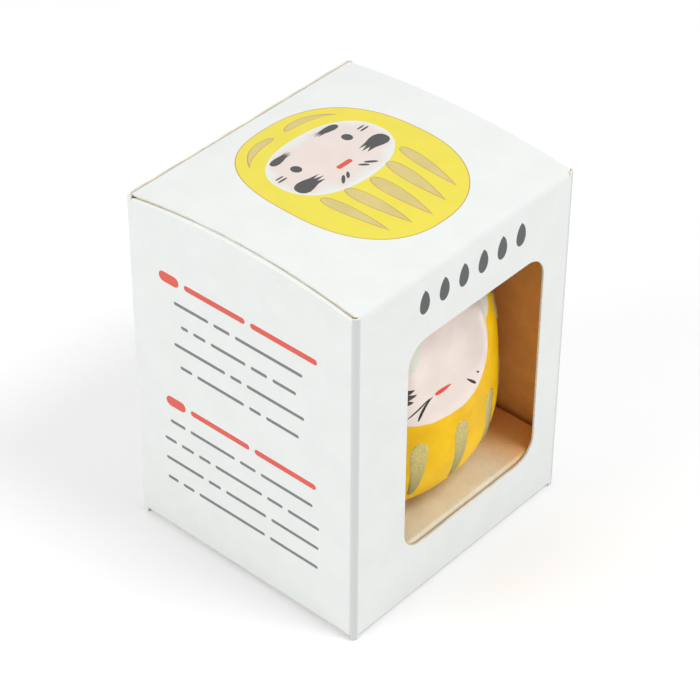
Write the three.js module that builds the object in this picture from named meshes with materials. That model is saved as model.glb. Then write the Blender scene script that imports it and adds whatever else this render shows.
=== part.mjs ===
// A small daruma doll standing in its window carton, in millimetres, +Z up.
// The origin is on the floor under the middle of the carton; the window faces -Y.
// The carton is one folded sheet of board, so its panels, lid and flaps are thin plates that
// stop just short of the creases. The doll stands on a folded card platform and lifts out.
import * as THREE from 'three';
import { mergeVertices } from 'three/addons/utils/BufferGeometryUtils.js';

// Carton; the lid bows up by LID_RISE in the middle
const WIDTH = 60;
const DEPTH = 55;
const HEIGHT = 76;
const BOARD = 0.4;
const GAP = 0.3;
const CREASE = 0.9;
const LID_RISE = 2.2;
const LID_STEPS = 16;
const WINDOW = { left: -15.9, right: 22.4, bottom: 12.3, top: 61.4, radius: 5 };

// Closing flaps, alike at the top and at the bottom
const DUST_FLAP_LENGTH = 20;
const DUST_FLAP_SETBACK = 3.5;
const DUST_FLAP_TAPER = 1.5;
const TUCK_LENGTH = 11;
const TUCK_LEAN = THREE.MathUtils.degToRad(8);
const TUCK_CORNER = 4;
const GLUE_FLAP_WIDTH = 14;
const GLUE_FLAP_END = 3;

// Card platform under the doll
const PLATFORM_TOP = 13.3;
const PLATFORM_HALF_WIDTH = 28.4;
const PLATFORM_FRONT = -26.7;
const PLATFORM_BACK = 24.2;

// Doll: half width, half depth and height, the level where it is widest, and its foot
const DOLL = { halfWidth: 27.8, halfDepth: 24.8, height: 56, widest: 14, foot: 0.56 };
const DOLL_CROWN_POWER = 2.7;
const DOLL_FOOT_POWER = 2.0;
const DOLL_PLACE = { x: 0.9, y: -1.7, turn: THREE.MathUtils.degToRad(-3) };
const DOLL_BASE = PLATFORM_TOP + GAP;
const FACE = { middle: 31, halfWidth: 18, above: 11, below: 8.5, depth: 3.4 };
const PULP = 1.6;
const WEIGHT_TOP = 9;
const BASE_DISC = 0.5;
const SECTORS = 40;
const CROWN_RINGS = 13;
const FOOT_RINGS = 6;
const PLUG_STEPS = 4;

const halfWidth = WIDTH / 2;
const halfDepth = DEPTH / 2;
const sideInner = halfWidth - BOARD;
const frontInner = halfDepth - BOARD;
const quarterTurn = Math.PI / 2;

const finish = (color, roughness) => new THREE.MeshStandardMaterial({ color, roughness, metalness: 0 });
const materials = {
  cartonBoard: finish('#f0f3f0', 0.55),
  platformCard: finish('#dccba8', 0.85),
  dollPaint: finish('#ecc41d', 0.6),
  clay: finish('#8a7c6c', 0.95),
  paper: finish('#e9e4d6', 0.9),
};

const model = new THREE.Group();

function addMesh(group, name, geometry, material) {
  const mesh = new THREE.Mesh(geometry, material);
  mesh.name = name;
  group.add(mesh);
  return mesh;
}

// ---- Flat sheets of board --------------------------------------------------------------

function outline(points) {
  return new THREE.Shape(points.map(([x, y]) => new THREE.Vector2(x, y)));
}

function rectangle(left, bottom, right, top) {
  return outline([[left, bottom], [right, bottom], [right, top], [left, top]]);
}

function roundedRectangle({ left, right, bottom, top, radius }) {
  const path = new THREE.Path();
  path.moveTo(left + radius, bottom);
  path.lineTo(right - radius, bottom);
  path.absarc(right - radius, bottom + radius, radius, -quarterTurn, 0);
  path.lineTo(right, top - radius);
  path.absarc(right - radius, top - radius, radius, 0, quarterTurn);
  path.lineTo(left + radius, top);
  path.absarc(left + radius, top - radius, radius, quarterTurn, Math.PI);
  path.lineTo(left, bottom + radius);
  path.absarc(left + radius, bottom + radius, radius, Math.PI, 3 * quarterTurn);
  return path;
}

function sheet(shape, thickness = BOARD) {
  return new THREE.ExtrudeGeometry(shape, { depth: thickness, bevelEnabled: false, curveSegments: 6 });
}

// A sheet lies flat, its thickness up from z. An upright one is drawn as seen from the window
// side (facing) or along the depth (sideways), with its thickness towards -Y or +X.
function addFlat(group, name, shape, z, material) {
  const mesh = addMesh(group, name, sheet(shape), material);
  mesh.position.z = z;
}

function addFacing(group, name, shape, innermostY, material) {
  const mesh = addMesh(group, name, sheet(shape), material);
  mesh.rotation.x = quarterTurn;
  mesh.position.y = innermostY;
}

function addSideways(group, name, shape, lowestX, material, thickness = BOARD) {
  const mesh = addMesh(group, name, sheet(shape, thickness), material);
  mesh.rotation.set(quarterTurn, quarterTurn, 0);
  mesh.position.x = lowestX;
}

// ---- Carton walls ----------------------------------------------------------------------

const carton = new THREE.Group();
model.add(carton);

const wallHalfWidth = halfWidth - BOARD - GAP;
const wallHalfDepth = halfDepth - BOARD - GAP;

const windowPanel = rectangle(-wallHalfWidth, CREASE + BOARD, wallHalfWidth, HEIGHT - CREASE - BOARD);
windowPanel.holes.push(roundedRectangle(WINDOW));
addFacing(carton, 'front_panel', windowPanel, -frontInner, materials.cartonBoard);

const backPanel = rectangle(-wallHalfWidth, 0, wallHalfWidth, HEIGHT);
addFacing(carton, 'back_panel', backPanel, halfDepth, materials.cartonBoard);

const dustFlapTopFace = HEIGHT - BOARD - GAP;
const sideBottom = HEIGHT - dustFlapTopFace + BOARD + GAP;
const sidePanel = rectangle(-wallHalfDepth, sideBottom, wallHalfDepth, HEIGHT - sideBottom);
addSideways(carton, 'left_panel', sidePanel, -halfWidth, materials.cartonBoard);
addSideways(carton, 'right_panel', sidePanel, sideInner, materials.cartonBoard);

const glueFlap = outline([
  [wallHalfDepth, GLUE_FLAP_END],
  [wallHalfDepth, HEIGHT - GLUE_FLAP_END],
  [wallHalfDepth - GLUE_FLAP_WIDTH, HEIGHT - 2 * GLUE_FLAP_END],
  [wallHalfDepth - GLUE_FLAP_WIDTH, 2 * GLUE_FLAP_END],
]);
addSideways(carton, 'glue_flap', glueFlap, -sideInner + GAP, materials.cartonBoard);

// ---- Top and bottom closures -----------------------------------------------------------

// The lid and the bottom hang on the window panel; their tuck flaps slip in behind the back.
const lidBack = frontInner - 2 * GAP;
const lidFront = -frontInner + BOARD;
const bottomShape = rectangle(-wallHalfWidth, lidFront, wallHalfWidth, lidBack);

// The lid bows up between its front fold and its tuck, seen here along its width.
function lidProfile() {
  const upper = [];
  for (let i = 0; i <= LID_STEPS; i += 1) {
    const share = i / LID_STEPS;
    upper.push([lidFront + (lidBack - lidFront) * share, HEIGHT + LID_RISE * 4 * share * (1 - share)]);
  }
  const lower = upper.map(([y, z]) => [y, z - BOARD]);
  return outline([...lower, ...upper.reverse()]);
}

function tuckShape() {
  const half = wallHalfWidth - 1;
  const shape = new THREE.Shape();
  shape.moveTo(-half, 0);
  shape.lineTo(half, 0);
  shape.lineTo(half, TUCK_LENGTH - TUCK_CORNER);
  shape.absarc(half - TUCK_CORNER, TUCK_LENGTH - TUCK_CORNER, TUCK_CORNER, 0, quarterTurn);
  shape.lineTo(-half + TUCK_CORNER, TUCK_LENGTH);
  shape.absarc(-half + TUCK_CORNER, TUCK_LENGTH - TUCK_CORNER, TUCK_CORNER, quarterTurn, Math.PI);
  return shape;
}

// The window-side edge of a dust flap is cut at 45 degrees, so that it clears the lifting lid.
function dustFlapShape(side) {
  const root = side * (sideInner - GAP);
  const tip = side * (sideInner - DUST_FLAP_LENGTH);
  const front = -halfDepth + DUST_FLAP_SETBACK;
  const back = wallHalfDepth - 2 * DUST_FLAP_TAPER;
  const corners = [
    [root, front],
    [tip, front + Math.abs(root - tip)],
    [tip, back - DUST_FLAP_TAPER],
    [root, back],
  ];
  return outline(side > 0 ? corners.reverse() : corners);
}

// The flaps are built for the bottom, whose outer face is at z = 0; the top has the same, turned over.
function addClosure(group, names, upsideDown) {
  const level = (z) => (upsideDown ? HEIGHT - z - BOARD : z);
  addFlat(group, names.leftDust, dustFlapShape(-1), level(BOARD + GAP), materials.cartonBoard);
  addFlat(group, names.rightDust, dustFlapShape(1), level(BOARD + GAP), materials.cartonBoard);
  const fold = new THREE.Group();
  fold.position.set(0, lidBack, upsideDown ? HEIGHT - BOARD - GAP : BOARD + GAP);
  fold.rotation.x = upsideDown ? -quarterTurn - TUCK_LEAN : quarterTurn + TUCK_LEAN;
  const tuck = addMesh(fold, names.tuck, sheet(tuckShape()), materials.cartonBoard);
  tuck.position.z = upsideDown ? -BOARD : 0;
  group.add(fold);
}

addSideways(model, 'lid_panel', lidProfile(), -wallHalfWidth, materials.cartonBoard, 2 * wallHalfWidth);
addFlat(model, 'bottom_panel', bottomShape, 0, materials.cartonBoard);
addClosure(
  model,
  { leftDust: 'top_dust_flap_left', rightDust: 'top_dust_flap_right', tuck: 'lid_tuck_flap' },
  true,
);
addClosure(
  model,
  {
    leftDust: 'bottom_dust_flap_left',
    rightDust: 'bottom_dust_flap_right',
    tuck: 'bottom_tuck_flap',
  },
  false,
);

// ---- Platform --------------------------------------------------------------------------

const platform = new THREE.Group();
model.add(platform);

const platformTop = rectangle(-PLATFORM_HALF_WIDTH, PLATFORM_FRONT, PLATFORM_HALF_WIDTH, PLATFORM_BACK);
addFlat(platform, 'platform_top', platformTop, PLATFORM_TOP - BOARD, materials.platformCard);

const skirtBottom = 2 * (BOARD + GAP);
const skirtTop = PLATFORM_TOP - BOARD - GAP;
const skirtHalfWidth = PLATFORM_HALF_WIDTH - BOARD - GAP;
const longSkirt = rectangle(-skirtHalfWidth, skirtBottom, skirtHalfWidth, skirtTop);
addFacing(platform, 'platform_skirt_front', longSkirt, PLATFORM_FRONT + BOARD, materials.platformCard);
addFacing(platform, 'platform_skirt_back', longSkirt, PLATFORM_BACK, materials.platformCard);

const skirtFront = PLATFORM_FRONT + BOARD + GAP;
const skirtBack = PLATFORM_BACK - BOARD - GAP;
const shortSkirt = rectangle(skirtFront, skirtBottom, skirtBack, skirtTop);
addSideways(platform, 'platform_skirt_left', shortSkirt, -PLATFORM_HALF_WIDTH, materials.platformCard);
addSideways(platform, 'platform_skirt_right', shortSkirt, PLATFORM_HALF_WIDTH - BOARD, materials.platformCard);

// ---- Doll ------------------------------------------------------------------------------

const doll = new THREE.Group();
doll.position.set(DOLL_PLACE.x, DOLL_PLACE.y, DOLL_BASE);
doll.rotation.z = DOLL_PLACE.turn;
model.add(doll);

// The doll's radius at a level above its foot, as a share of its largest radius.
function fullness(z) {
  if (z < DOLL.widest) {
    const drop = (DOLL.widest - z) / DOLL.widest;
    return DOLL.foot + (1 - DOLL.foot) * (1 - drop ** DOLL_FOOT_POWER) ** (1 / DOLL_FOOT_POWER);
  }
  const rise = Math.min(1, (z - DOLL.widest) / (DOLL.height - DOLL.widest));
  return (1 - rise ** DOLL_CROWN_POWER) ** (1 / DOLL_CROWN_POWER);
}

// How far the face is pressed in behind the doll's round front.
function facePress(x, z) {
  const across = x / FACE.halfWidth;
  const along = (z - FACE.middle) / (z > FACE.middle ? FACE.above : FACE.below);
  const inside = Math.max(0, 1 - across ** 2 - along ** 2);
  return FACE.depth * Math.min(1, 2 * inside);
}

// A wall above zero gives the shell's inner face, that much inside the outer one all round.
function dollPoint(angle, z, wall) {
  const level = Math.max(0, (z - wall) / (DOLL.height - 2 * wall)) * DOLL.height;
  const share = fullness(level);
  const x = Math.max(0, DOLL.halfWidth * share - wall) * Math.sin(angle);
  const y = -Math.max(0, DOLL.halfDepth * share - wall) * Math.cos(angle);
  const pressed = y < 0 ? Math.min(facePress(x, z), -0.8 * y) : 0;
  return new THREE.Vector3(x, y + pressed, z);
}

function ring(z, wall) {
  const points = [];
  for (let s = 0; s < SECTORS; s += 1) {
    points.push(dollPoint((s / SECTORS) * 2 * Math.PI, z, wall));
  }
  return points;
}

// Rings from the foot to just under the crown, closer together where the outline turns.
function dollRings(wall) {
  const crown = DOLL.height - wall;
  const levels = [];
  for (let i = 0; i < FOOT_RINGS; i += 1) {
    levels.push(wall + (DOLL.widest - wall) * (1 - Math.cos((i / FOOT_RINGS) * quarterTurn)));
  }
  for (let i = 0; i < CROWN_RINGS; i += 1) {
    levels.push(DOLL.widest + (crown - DOLL.widest) * Math.sin((i / CROWN_RINGS) * quarterTurn));
  }
  return levels.map((z) => ring(z, wall));
}

// Closed skin through the rings, from a point under the first to a point over the last.
function skin(rings, first, last) {
  const points = rings.flat().concat([first, last]);
  const firstIndex = rings.length * SECTORS;
  const lastIndex = firstIndex + 1;
  const topRing = firstIndex - SECTORS;
  const triangles = [];
  for (let s = 0; s < SECTORS; s += 1) {
    const next = (s + 1) % SECTORS;
    triangles.push(firstIndex, next, s);
    for (let low = 0; low < topRing; low += SECTORS) {
      const high = low + SECTORS;
      triangles.push(low + s, low + next, high + next, low + s, high + next, high + s);
    }
    triangles.push(topRing + s, topRing + next, lastIndex);
  }
  const geometry = new THREE.BufferGeometry();
  geometry.setAttribute('position', new THREE.Float32BufferAttribute(points.flatMap((p) => p.toArray()), 3));
  geometry.setIndex(triangles);
  return mergeVertices(geometry);
}

// The pulp shell is open at the foot: down its inside from the crown, then up its outside.
function shellGeometry() {
  const inside = [ring(0, PULP), ...dollRings(PULP)].reverse();
  const hollowCrown = new THREE.Vector3(0, 0, DOLL.height - PULP);
  const crown = new THREE.Vector3(0, 0, DOLL.height);
  return skin([...inside, ...dollRings(0)], hollowCrown, crown);
}

// The clay weight fills the bottom of the shell, and a paper disc closes the hole under it.
function plugGeometry(bottom, top, wall) {
  const rings = [];
  for (let i = 0; i <= PLUG_STEPS; i += 1) {
    rings.push(ring(bottom + ((top - bottom) * i) / PLUG_STEPS, wall));
  }
  return skin(rings, new THREE.Vector3(0, 0, bottom), new THREE.Vector3(0, 0, top));
}

addMesh(doll, 'doll_shell', shellGeometry(), materials.dollPaint);
addMesh(doll, 'doll_weight', plugGeometry(PULP + GAP, WEIGHT_TOP, PULP + GAP), materials.clay);
addMesh(doll, 'doll_base_disc', plugGeometry(0, BASE_DISC, PULP + GAP), materials.paper);

export default model;
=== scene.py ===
"""A small daruma doll in its window carton.

The carton is one printed sheet of board, folded round and closed with tuck flaps at both ends.
The doll is a paper-pulp shell with thick brush paint, and stands on a folded card platform.
Sizes inside the functions are in millimetres; meshes are written in metres.
"""

import bisect
import math

import bmesh
import bpy
from bpy.props import FloatProperty, FloatVectorProperty, IntProperty, PointerProperty
from mathutils import Matrix, Vector, noise
from mathutils.geometry import delaunay_2d_cdt


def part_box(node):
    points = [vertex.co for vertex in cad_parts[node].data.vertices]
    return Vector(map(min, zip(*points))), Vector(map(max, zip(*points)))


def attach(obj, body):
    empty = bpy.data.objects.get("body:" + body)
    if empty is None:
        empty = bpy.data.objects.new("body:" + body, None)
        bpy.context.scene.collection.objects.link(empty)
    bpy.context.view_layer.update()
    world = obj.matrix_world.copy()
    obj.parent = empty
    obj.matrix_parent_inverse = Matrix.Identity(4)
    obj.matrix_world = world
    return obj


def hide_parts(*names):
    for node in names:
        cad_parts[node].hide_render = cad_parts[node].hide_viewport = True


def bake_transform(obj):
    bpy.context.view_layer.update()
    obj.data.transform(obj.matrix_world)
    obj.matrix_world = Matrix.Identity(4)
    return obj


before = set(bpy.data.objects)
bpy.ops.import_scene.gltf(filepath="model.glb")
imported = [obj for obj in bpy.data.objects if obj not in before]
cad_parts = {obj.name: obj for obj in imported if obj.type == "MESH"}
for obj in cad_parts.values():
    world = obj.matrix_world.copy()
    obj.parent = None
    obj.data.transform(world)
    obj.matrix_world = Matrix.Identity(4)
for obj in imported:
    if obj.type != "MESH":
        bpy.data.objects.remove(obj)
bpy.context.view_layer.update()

bl_info = {
    "name": "Boxed daruma doll",
    "version": (1, 0, 0),
    "blender": (4, 5, 0),
    "location": "3D View > Sidebar > Daruma",
    "description": "Builds a painted daruma doll in a printed window carton",
    "category": "Object",
}

MM = 0.001
UV_SPAN = 100.0


def cad(node):
    """Lowest and highest corner of a part of the frame, in millimetres."""
    low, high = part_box(node)
    return low / MM, high / MM


# ---- Sizes taken from the frame --------------------------------------------------------

LEFT = cad("left_panel")[0].x
RIGHT = cad("right_panel")[1].x
FRONT = cad("front_panel")[0].y
BACK = cad("back_panel")[1].y
TOP = cad("back_panel")[1].z
BOARD = cad("front_panel")[1].y - cad("front_panel")[0].y
LID_RISE = cad("lid_panel")[1].z - TOP
LID_HALF = cad("lid_panel")[1].x
SIDE_FOLD = cad("left_panel")[1].z
FRONT_FOLD = cad("front_panel")[1].z
DUST_TOP = cad("top_dust_flap_left")[1].z
DUST_TIP = cad("top_dust_flap_left")[1].x
DUST_FRONT = cad("top_dust_flap_left")[0].y
DUST_BACK = cad("top_dust_flap_left")[1].y
TUCK = cad("lid_tuck_flap")
PLATFORM = cad("platform_top")
DOLL = cad("doll_shell")

CORNER = 0.9
DEPTH = BACK - FRONT
ROOT_HALF = BACK - CORNER
LID_FOLD = BACK - BOARD - 0.06

# The window cut in the front panel
WINDOW = {"left": -15.9, "right": 22.4, "bottom": 12.3, "top": 61.4, "radius": 5.0}
DOLL_TURN = math.radians(-3)


# ---- Settings --------------------------------------------------------------------------


def colour(name, description, default):
    return FloatVectorProperty(
        name=name, description=description, subtype="COLOR", size=3, min=0, max=1, default=default
    )


def length(name, description, default):
    return FloatProperty(name=name, description=description, default=default, unit="LENGTH", min=0)


class DarumaCartonSettings(bpy.types.PropertyGroup):
    fold_radius: length("Fold radius", "Outer radius of the upright folds", 0.9 * MM)
    lid_radius: length("Lid fold radius", "Outer radius of the folds along the lid and base", 1.2 * MM)
    bulge: length("Bulge", "How far the panels bow in between their folds", 0.25 * MM)
    white: colour("Board", "Coated outer face of the board", (0.785, 0.81, 0.79))
    # The inside colour is deeper and more orange than the bare kraft: painted shade, and painted light
    # reflected from the yellow doll.
    inside: colour("Inside", "Bare inner face of the board", (0.87, 0.44, 0.11))
    edge: colour("Cut edge", "Cut edge of the board", (0.76, 0.75, 0.66))
    platform: colour("Platform", "Card of the platform", (0.79, 0.72, 0.55))


class DarumaPrintSettings(bpy.types.PropertyGroup):
    yellow: colour("Yellow ink", "Body of the printed doll", (0.8, 0.69, 0.066))
    tan: colour("Tan ink", "Strokes of the printed doll", (0.655, 0.54, 0.2))
    line: colour("Line ink", "Fine outlines of the printed doll", (0.5, 0.3, 0.08))
    pink: colour("Pink ink", "Face of the printed doll", (0.76, 0.67, 0.62))
    grey: colour("Grey ink", "Dark marks and the grey print", (0.075, 0.075, 0.075))
    red: colour("Red ink", "Mouth and the red print", (0.72, 0.09, 0.06))
    soft_grey: colour("Soft grey ink", "Bars that stand for small print", (0.19, 0.19, 0.195))


class DarumaDollSettings(bpy.types.PropertyGroup):
    face_depth: length("Face depth", "How deep the face is pressed in", 2.6 * MM)
    paint_relief: length("Paint relief", "Height of the thick gold strokes", 0.34 * MM)
    gold_strokes: IntProperty(name="Gold strokes", description="Strokes round the body", default=7, min=0)
    yellow: colour("Yellow paint", "Body paint", (0.9, 0.53, 0.0))
    pink: colour("Pink paint", "Face paint", (0.87, 0.755, 0.69))
    gold: colour("Gold paint", "Thick metallic strokes", (0.56, 0.47, 0.17))
    black: colour("Black paint", "Brush marks", (0.018, 0.012, 0.01))
    red: colour("Red paint", "Mouth", (0.75, 0.05, 0.03))
    eye: colour("Eye white", "Blank eyes", (0.76, 0.77, 0.66))


class DarumaStageSettings(bpy.types.PropertyGroup):
    floor: colour("Floor", "Pale floor", (0.96, 0.96, 0.96))
    azimuth: FloatProperty(
        name="Azimuth",
        description="Camera direction",
        subtype="ANGLE",
        default=math.radians(-48.655),
    )
    elevation: FloatProperty(
        name="Elevation",
        description="Camera height angle",
        subtype="ANGLE",
        default=math.radians(38.879),
    )
    roll: FloatProperty(name="Roll", description="Camera roll", subtype="ANGLE", default=math.radians(0.4))
    distance: length("Distance", "Camera distance", 500.2 * MM)
    lens: FloatProperty(name="Lens", description="Focal length in millimetres", default=136.05, min=1)


SETTINGS = {
    "daruma_carton": DarumaCartonSettings,
    "daruma_print": DarumaPrintSettings,
    "daruma_doll": DarumaDollSettings,
    "daruma_stage": DarumaStageSettings,
}


# ---- Materials -------------------------------------------------------------------------


class Graph:
    """A material with one Principled shader and short calls to add and join nodes."""

    def __init__(self, name):
        self.material = bpy.data.materials.new(name)
        self.material.use_nodes = True
        self.tree = self.material.node_tree
        self.tree.nodes.clear()
        self.shader = self.add("ShaderNodeBsdfPrincipled")
        output = self.add("ShaderNodeOutputMaterial")
        self.join(self.shader.outputs["BSDF"], output.inputs["Surface"])

    def add(self, kind, **settings):
        node = self.tree.nodes.new(kind)
        for key, value in settings.items():
            setattr(node, key, value)
        return node

    def join(self, source, target):
        self.tree.links.new(source, target)

    def coordinates(self, layer):
        """Position on the piece in metres, or its flat UV map."""
        if layer:
            return self.add("ShaderNodeUVMap", uv_map=layer).outputs["UV"]
        return self.add("ShaderNodeTexCoord").outputs["Object"]

    def noise(self, where, scale, detail=2.0, roughness=0.5, stretch=None):
        if stretch:
            mapping = self.add("ShaderNodeMapping")
            mapping.inputs["Scale"].default_value = stretch
            self.join(where, mapping.inputs["Vector"])
            where = mapping.outputs["Vector"]
        node = self.add("ShaderNodeTexNoise")
        node.inputs["Scale"].default_value = scale
        node.inputs["Detail"].default_value = detail
        node.inputs["Roughness"].default_value = roughness
        self.join(where, node.inputs["Vector"])
        return node.outputs["Fac"]

    def ramp(self, value, low, high, out_low=0.0, out_high=1.0):
        node = self.add("ShaderNodeMapRange", interpolation_type="SMOOTHSTEP")
        for key, number in zip(("From Min", "From Max", "To Min", "To Max"), (low, high, out_low, out_high)):
            node.inputs[key].default_value = number
        self.join(value, node.inputs["Value"])
        return node.outputs["Result"]

    def mix(self, factor, first, second):
        """Colour from first to second; each is a colour or a socket."""
        node = self.add("ShaderNodeMix", data_type="RGBA")
        self.join(factor, node.inputs[0])
        for socket, value in ((node.inputs[6], first), (node.inputs[7], second)):
            if isinstance(value, bpy.types.NodeSocket):
                self.join(value, socket)
            else:
                socket.default_value = (*value, 1)
        return node.outputs[2]

    def attribute(self, name):
        return self.add("ShaderNodeAttribute", attribute_name=name).outputs["Fac"]

    def bump(self, heights):
        """Chain of bumps, each (height socket, distance in metres, strength)."""
        normal = None
        for height, distance, strength in heights:
            node = self.add("ShaderNodeBump")
            node.inputs["Distance"].default_value = distance
            node.inputs["Strength"].default_value = strength
            self.join(height, node.inputs["Height"])
            if normal:
                self.join(normal, node.inputs["Normal"])
            normal = node.outputs["Normal"]
        self.join(normal, self.shader.inputs["Normal"])

    def finish(self, colour_socket, roughness, metallic=0.0):
        self.join(colour_socket, self.shader.inputs["Base Color"])
        if isinstance(roughness, bpy.types.NodeSocket):
            self.join(roughness, self.shader.inputs["Roughness"])
        else:
            self.shader.inputs["Roughness"].default_value = roughness
        self.shader.inputs["Metallic"].default_value = metallic
        return self.material


def tint(base, factor, shift=(0.0, 0.0, 0.0)):
    return tuple(max(0.0, min(1.0, c * factor + s)) for c, s in zip(base, shift))


def coated_board(name, base, roughness=0.5, spread=0.02):
    """Smooth coated board or ink on it: faint mottling, paper tooth, and a darker band along each fold from
    its crease and from painted shade.
    """
    g = Graph(name)
    flat = g.coordinates("flat")
    mottle = g.ramp(g.noise(flat, 14, 4, 0.6), 0.35, 0.65)
    tone = g.mix(mottle, tint(base, 1 - spread), tint(base, 1 + spread))
    grain = g.ramp(g.noise(flat, 520, 3, 0.7), 0.3, 0.7)
    tone = g.mix(grain, tone, g.mix(grain, tone, tint(base, 1 - 1.5 * spread)))
    # Painted shade on the folds: the outer face is darker along each fold, for its crease and for the shade
    # on the rounded fold.
    crease_and_shade = g.attribute("crease_and_shade")
    tone = g.mix(crease_and_shade, tone, tint(base, 0.8, (0.0, 0.0, 0.004)))
    g.bump([(g.noise(flat, 760, 3, 0.6), 0.012 * MM, 0.35), (g.noise(flat, 55, 3, 0.5), 0.05 * MM, 0.25)])
    return g.finish(tone, g.ramp(grain, 0, 1, roughness - 0.05, roughness + 0.08))


# Painted shade on the platform card begins at the first of these and is full at the second, along the
# carton's x towards its right wall.
PAINTED_SHADE_FROM = 11 * MM
PAINTED_SHADE_TO = 24 * MM


def kraft(name, base, deep=None):
    """Bare card: long pale and dark fibres, specks and an open matt tooth.

    With deep, the card turns to that colour towards its right end: painted shade, tinted by light reflected
    from the orange walls.
    """
    g = Graph(name)
    where = g.coordinates("flat")
    cloud = g.ramp(g.noise(where, 20, 4, 0.6), 0.3, 0.7)
    tone = g.mix(cloud, tint(base, 0.93), tint(base, 1.06))
    # Painted shade: towards the right end the card turns to the colour deep, for the shade there and the
    # orange light reflected from the walls.
    if deep:
        parts = g.add("ShaderNodeSeparateXYZ")
        g.join(g.coordinates(None), parts.inputs[0])
        tone = g.mix(g.ramp(parts.outputs["X"], PAINTED_SHADE_FROM, PAINTED_SHADE_TO), tone, deep)
    fibres = g.ramp(g.noise(where, 150, 5, 0.72, (1.0, 5.0, 1.0)), 0.52, 0.68)
    tone = g.mix(fibres, tone, tint(base, 1.16, (0.01, 0.01, 0.01)))
    cross = g.ramp(g.noise(where, 170, 5, 0.7, (4.5, 1.0, 1.0)), 0.56, 0.7)
    tone = g.mix(cross, tone, tint(base, 0.8))
    specks = g.ramp(g.noise(where, 420, 2, 0.5), 0.66, 0.72)
    tone = g.mix(specks, tone, tint(base, 0.55))
    g.bump([(fibres, 0.02 * MM, 0.4), (g.noise(where, 600, 3, 0.6), 0.03 * MM, 0.4)])
    return g.finish(tone, 0.85)


def cut_edge(name, base):
    """Cut edge of board: thin plies that run along the sheet."""
    g = Graph(name)
    where = g.coordinates(None)
    plies = g.ramp(g.noise(where, 900, 3, 0.6, (0.3, 0.3, 3.0)), 0.35, 0.65)
    tone = g.mix(plies, tint(base, 0.86), tint(base, 1.08))
    g.bump([(g.noise(where, 2500, 2, 0.5), 0.03 * MM, 0.5)])
    return g.finish(tone, 0.9)


def printed_face(name, base, glow):
    """Pink face ink that fades to bare white board at its rim, by the 'rim' attribute."""
    g = Graph(name)
    flat = g.coordinates("flat")
    mottle = g.ramp(g.noise(flat, 18, 4, 0.6), 0.35, 0.65)
    tone = g.mix(mottle, tint(base, 0.985), tint(base, 1.015))
    rim = g.ramp(g.attribute("rim"), 0.0, 1.0)
    tone = g.mix(rim, glow, tone)
    g.bump([(g.noise(flat, 760, 3, 0.6), 0.012 * MM, 0.35)])
    return g.finish(tone, 0.5)


def body_paint(name, yellow, pink):
    """Hand-brushed paint on pulp: yellow all over, pink where the 'face' attribute says."""
    g = Graph(name)
    where = g.coordinates(None)
    streaks = g.noise(where, 700, 4, 0.65, (0.35, 0.35, 2.2))
    thick = g.ramp(g.noise(where, 130, 3, 0.55), 0.35, 0.68)
    body = g.mix(thick, tint(yellow, 0.93, (0.0, -0.02, 0.0)), tint(yellow, 1.04, (0.0, 0.02, 0.0)))
    body = g.mix(g.ramp(streaks, 0.5, 0.8, 0.0, 0.5), body, tint(yellow, 1.0, (0.05, 0.06, 0.01)))
    face = g.mix(thick, tint(pink, 0.97), tint(pink, 1.03, (0.01, 0.015, 0.015)))
    face = g.mix(g.ramp(streaks, 0.45, 0.8, 0.0, 0.4), face, tint(pink, 1.0, (0.04, 0.05, 0.05)))
    wobble = g.add("ShaderNodeMath", operation="MULTIPLY_ADD")
    g.join(g.noise(where, 420, 3, 0.6), wobble.inputs[0])
    wobble.inputs[1].default_value = 0.5
    g.join(g.attribute("face"), wobble.inputs[2])
    tone = g.mix(g.ramp(wobble.outputs[0], 0.12, 0.42), body, face)
    g.bump(
        [
            (streaks, 0.05 * MM, 0.35),
            (g.noise(where, 2600, 3, 0.6), 0.02 * MM, 0.4),
            (g.noise(where, 240, 2, 0.5), 0.12 * MM, 0.3),
        ]
    )
    g.shader.inputs["Specular IOR Level"].default_value = 0.16
    return g.finish(tone, g.ramp(streaks, 0.3, 0.7, 0.4, 0.56))


def thick_paint(name, base, roughness, metallic, sparkle=0.06, ridge=0.08, foot=None):
    """Raised brush paint with ridges left along the stroke, by its own UV map.

    With foot, the paint turns to that colour towards the far end of the stroke: painted shade, so each stroke
    looks lit with a sheen at its start and shaded at its end.
    """
    g = Graph(name)
    flat = g.coordinates("flat")
    where = g.coordinates(None)
    ridges = g.noise(flat, 160, 4, 0.7, (0.25, 2.2, 1.0))
    tone = g.mix(g.ramp(ridges, 0.35, 0.65), tint(base, 1 - 2.5 * sparkle), tint(base, 1 + sparkle))
    flakes = g.ramp(g.noise(where, 5200, 2, 0.6), 0.45, 0.7)
    tone = g.mix(flakes, tone, tint(base, 1 + 5 * sparkle, (0.02, 0.02, 0.01)))
    # Painted shade: the far end of the stroke darkens, and its start stays light like a sheen.
    if foot:
        parts = g.add("ShaderNodeSeparateXYZ")
        g.join(flat, parts.inputs[0])
        tone = g.mix(g.ramp(parts.outputs["X"], 0.015, 0.13, 0.0, 0.75), tone, foot)
    g.bump([(ridges, ridge * MM, 0.5), (flakes, 0.012 * MM, 0.4)])
    return g.finish(tone, g.ramp(ridges, 0.3, 0.7, roughness - 0.06, roughness + 0.08), metallic)


def plain_stuff(name, base, roughness, scale):
    """Dry clay or paper, for the parts inside the doll."""
    g = Graph(name)
    where = g.coordinates(None)
    cloud = g.ramp(g.noise(where, scale, 5, 0.65), 0.3, 0.7)
    tone = g.mix(cloud, tint(base, 0.82), tint(base, 1.1))
    g.bump([(g.noise(where, 4 * scale, 4, 0.7), 0.15 * MM, 0.5)])
    return g.finish(tone, roughness)


MADE = {}


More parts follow.
